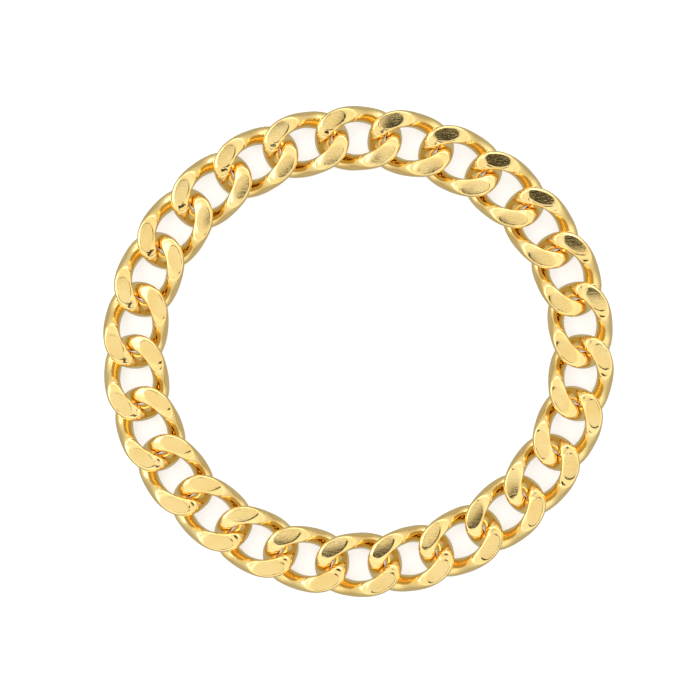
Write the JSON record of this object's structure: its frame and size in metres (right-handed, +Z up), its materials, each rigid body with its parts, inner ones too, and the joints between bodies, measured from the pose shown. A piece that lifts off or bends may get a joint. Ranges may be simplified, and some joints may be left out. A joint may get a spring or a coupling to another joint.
{
  "type": "chain necklace",
  "caption": "Heavy polished gold curb chain closed in a ring, with twisted oval links ground flat on both faces and a hinged gate clasp hidden in one link.",
  "frame": {"origin": "centre of the ring, on the surface the chain lies on", "axes": "+Z up, +X along the ring's longer width, +Y towards the clasp link"},
  "size_m": [0.1548, 0.1492, 0.0085],
  "materials": {
    "gold": "polished gold plate",
    "pin_steel": "ground",
    "tongue_steel": "spring temper, brushed"
  },
  "bodies": {
    "clasp_link": {"clasp_frame": "gold", "clasp_hinge_pin": "pin_steel"},
    "gate": {"clasp_gate": "gold", "clasp_tongue": "tongue_steel"},
    "link_02": {"link_02": "gold"},
    "link_03": {"link_03": "gold"},
    "link_04": {"link_04": "gold"},
    "link_05": {"link_05": "gold"},
    "link_06": {"link_06": "gold"},
    "link_07": {"link_07": "gold"},
    "link_08": {"link_08": "gold"},
    "link_09": {"link_09": "gold"},
    "link_10": {"link_10": "gold"},
    "link_11": {"link_11": "gold"},
    "link_12": {"link_12": "gold"},
    "link_13": {"link_13": "gold"},
    "link_14": {"link_14": "gold"},
    "link_15": {"link_15": "gold"},
    "link_16": {"link_16": "gold"},
    "link_17": {"link_17": "gold"},
    "link_18": {"link_18": "gold"},
    "link_19": {"link_19": "gold"},
    "link_20": {"link_20": "gold"},
    "link_21": {"link_21": "gold"},
    "link_22": {"link_22": "gold"},
    "link_23": {"link_23": "gold"},
    "link_24": {"link_24": "gold"},
    "link_25": {"link_25": "gold"},
    "link_26": {"link_26": "gold"}
  },
  "joints": [
    {"name": "link_02_hinge", "type": "hinge", "parent": "clasp_link", "child": "link_02", "pos_m": [-0.00808, 0.06488, 0.00425], "axis": [0, 0, 1], "range_deg": [-11, 11]},
    {"name": "link_03_hinge", "type": "hinge", "parent": "link_02", "child": "link_03", "pos_m": [-0.02382, 0.06128, 0.00425], "axis": [0, 0, 1], "range_deg": [-8.49, 8.49]},
    {"name": "link_04_hinge", "type": "hinge", "parent": "link_03", "child": "link_04", "pos_m": [-0.03834, 0.05421, 0.00425], "axis": [0, 0, 1], "range_deg": [-4.02, 4.02]},
    {"name": "link_05_hinge", "type": "hinge", "parent": "link_04", "child": "link_05", "pos_m": [-0.05081, 0.04394, 0.00425], "axis": [0, 0, 1], "range_deg": [-1.37, 1.37]},
    {"name": "link_06_hinge", "type": "hinge", "parent": "link_05", "child": "link_06", "pos_m": [-0.06043, 0.03097, 0.00425], "axis": [0, 0, 1], "range_deg": [-6.44, 6.44]},
    {"name": "link_07_hinge", "type": "hinge", "parent": "link_06", "child": "link_07", "pos_m": [-0.06652, 0.01601, 0.00425], "axis": [0, 0, 1], "range_deg": [-10.04, 10.04]},
    {"name": "link_08_hinge", "type": "hinge", "parent": "link_07", "child": "link_08", "pos_m": [-0.0686, 0, 0.00425], "axis": [0, 0, 1], "range_deg": [-11.33, 11.33]},
    {"name": "link_09_hinge", "type": "hinge", "parent": "link_08", "child": "link_09", "pos_m": [-0.06652, -0.01601, 0.00425], "axis": [0, 0, 1], "range_deg": [-10.04, 10.04]},
    {"name": "link_10_hinge", "type": "hinge", "parent": "link_09", "child": "link_10", "pos_m": [-0.06043, -0.03097, 0.00425], "axis": [0, 0, 1], "range_deg": [-6.44, 6.44]},
    {"name": "link_11_hinge", "type": "hinge", "parent": "link_10", "child": "link_11", "pos_m": [-0.05081, -0.04394, 0.00425], "axis": [0, 0, 1], "range_deg": [-1.37, 1.37]},
    {"name": "link_12_hinge", "type": "hinge", "parent": "link_11", "child": "link_12", "pos_m": [-0.03834, -0.05421, 0.00425], "axis": [0, 0, 1], "range_deg": [-4.02, 4.02]},
    {"name": "link_13_hinge", "type": "hinge", "parent": "link_12", "child": "link_13", "pos_m": [-0.02382, -0.06128, 0.00425], "axis": [0, 0, 1], "range_deg": [-8.49, 8.49]},
    {"name": "link_14_hinge", "type": "hinge", "parent": "link_13", "child": "link_14", "pos_m": [-0.00808, -0.06488, 0.00425], "axis": [0, 0, 1], "range_deg": [-11.01, 11.01]},
    {"name": "link_15_hinge", "type": "hinge", "parent": "link_14", "child": "link_15", "pos_m": [0.00808, -0.06488, 0.00425], "axis": [0, 0, 1], "range_deg": [-11.01, 11.01]},
    {"name": "link_16_hinge", "type": "hinge", "parent": "link_15", "child": "link_16", "pos_m": [0.02382, -0.06128, 0.00425], "axis": [0, 0, 1], "range_deg": [-8.49, 8.49]},
    {"name": "link_17_hinge", "type": "hinge", "parent": "link_16", "child": "link_17", "pos_m": [0.03834, -0.05421, 0.00425], "axis": [0, 0, 1], "range_deg": [-4.02, 4.02]},
    {"name": "link_18_hinge", "type": "hinge", "parent": "link_17", "child": "link_18", "pos_m": [0.05081, -0.04394, 0.00425], "axis": [0, 0, 1], "range_deg": [-1.37, 1.37]},
    {"name": "link_19_hinge", "type": "hinge", "parent": "link_18", "child": "link_19", "pos_m": [0.06043, -0.03097, 0.00425], "axis": [0, 0, 1], "range_deg": [-6.44, 6.44]},
    {"name": "link_20_hinge", "type": "hinge", "parent": "link_19", "child": "link_20", "pos_m": [0.06652, -0.01601, 0.00425], "axis": [0, 0, 1], "range_deg": [-10.04, 10.04]},
    {"name": "link_21_hinge", "type": "hinge", "parent": "link_20", "child": "link_21", "pos_m": [0.0686, 0, 0.00425], "axis": [0, 0, 1], "range_deg": [-11.33, 11.33]},
    {"name": "link_22_hinge", "type": "hinge", "parent": "link_21", "child": "link_22", "pos_m": [0.06652, 0.01601, 0.00425], "axis": [0, 0, 1], "range_deg": [-10.04, 10.04]},
    {"name": "link_23_hinge", "type": "hinge", "parent": "link_22", "child": "link_23", "pos_m": [0.06043, 0.03097, 0.00425], "axis": [0, 0, 1], "range_deg": [-6.44, 6.44]},
    {"name": "link_24_hinge", "type": "hinge", "parent": "link_23", "child": "link_24", "pos_m": [0.05081, 0.04394, 0.00425], "axis": [0, 0, 1], "range_deg": [-1.37, 1.37]},
    {"name": "link_25_hinge", "type": "hinge", "parent": "link_24", "child": "link_25", "pos_m": [0.03834, 0.05421, 0.00425], "axis": [0, 0, 1], "range_deg": [-4.02, 4.02]},
    {"name": "link_26_hinge", "type": "hinge", "parent": "link_25", "child": "link_26", "pos_m": [0.02382, 0.06128, 0.00425], "axis": [0, 0, 1], "range_deg": [-8.49, 8.49]},
    {"name": "gate_hinge", "type": "hinge", "parent": "clasp_link", "child": "gate", "pos_m": [-0.00767, 0.07008, 0.00425], "axis": [0, 0, 1], "range_deg": [0, 50]}
  ],
  "couplings": [
    {"joint": "link_03_hinge", "follows": "link_02_hinge", "ratio": 0.77091},
    {"joint": "link_04_hinge", "follows": "link_02_hinge", "ratio": 0.36522},
    {"joint": "link_05_hinge", "follows": "link_02_hinge", "ratio": -0.12414},
    {"joint": "link_06_hinge", "follows": "link_02_hinge", "ratio": -0.58507},
    {"joint": "link_07_hinge", "follows": "link_02_hinge", "ratio": -0.91196},
    {"joint": "link_08_hinge", "follows": "link_02_hinge", "ratio": -1.0299},
    {"joint": "link_09_hinge", "follows": "link_02_hinge", "ratio": -0.91196},
    {"joint": "link_10_hinge", "follows": "link_02_hinge", "ratio": -0.58507},
    {"joint": "link_11_hinge", "follows": "link_02_hinge", "ratio": -0.12414},
    {"joint": "link_12_hinge", "follows": "link_02_hinge", "ratio": 0.36522},
    {"joint": "link_13_hinge", "follows": "link_02_hinge", "ratio": 0.77091},
    {"joint": "link_14_hinge", "follows": "link_02_hinge", "ratio": 1},
    {"joint": "link_15_hinge", "follows": "link_02_hinge", "ratio": 1},
    {"joint": "link_16_hinge", "follows": "link_02_hinge", "ratio": 0.77091},
    {"joint": "link_17_hinge", "follows": "link_02_hinge", "ratio": 0.36522},
    {"joint": "link_18_hinge", "follows": "link_02_hinge", "ratio": -0.12414},
    {"joint": "link_19_hinge", "follows": "link_02_hinge", "ratio": -0.58507},
    {"joint": "link_20_hinge", "follows": "link_02_hinge", "ratio": -0.91196},
    {"joint": "link_21_hinge", "follows": "link_02_hinge", "ratio": -1.0299},
    {"joint": "link_22_hinge", "follows": "link_02_hinge", "ratio": -0.91196},
    {"joint": "link_23_hinge", "follows": "link_02_hinge", "ratio": -0.58507},
    {"joint": "link_24_hinge", "follows": "link_02_hinge", "ratio": -0.12414},
    {"joint": "link_25_hinge", "follows": "link_02_hinge", "ratio": 0.36522},
    {"joint": "link_26_hinge", "follows": "link_02_hinge", "ratio": 0.77091}
  ]
}
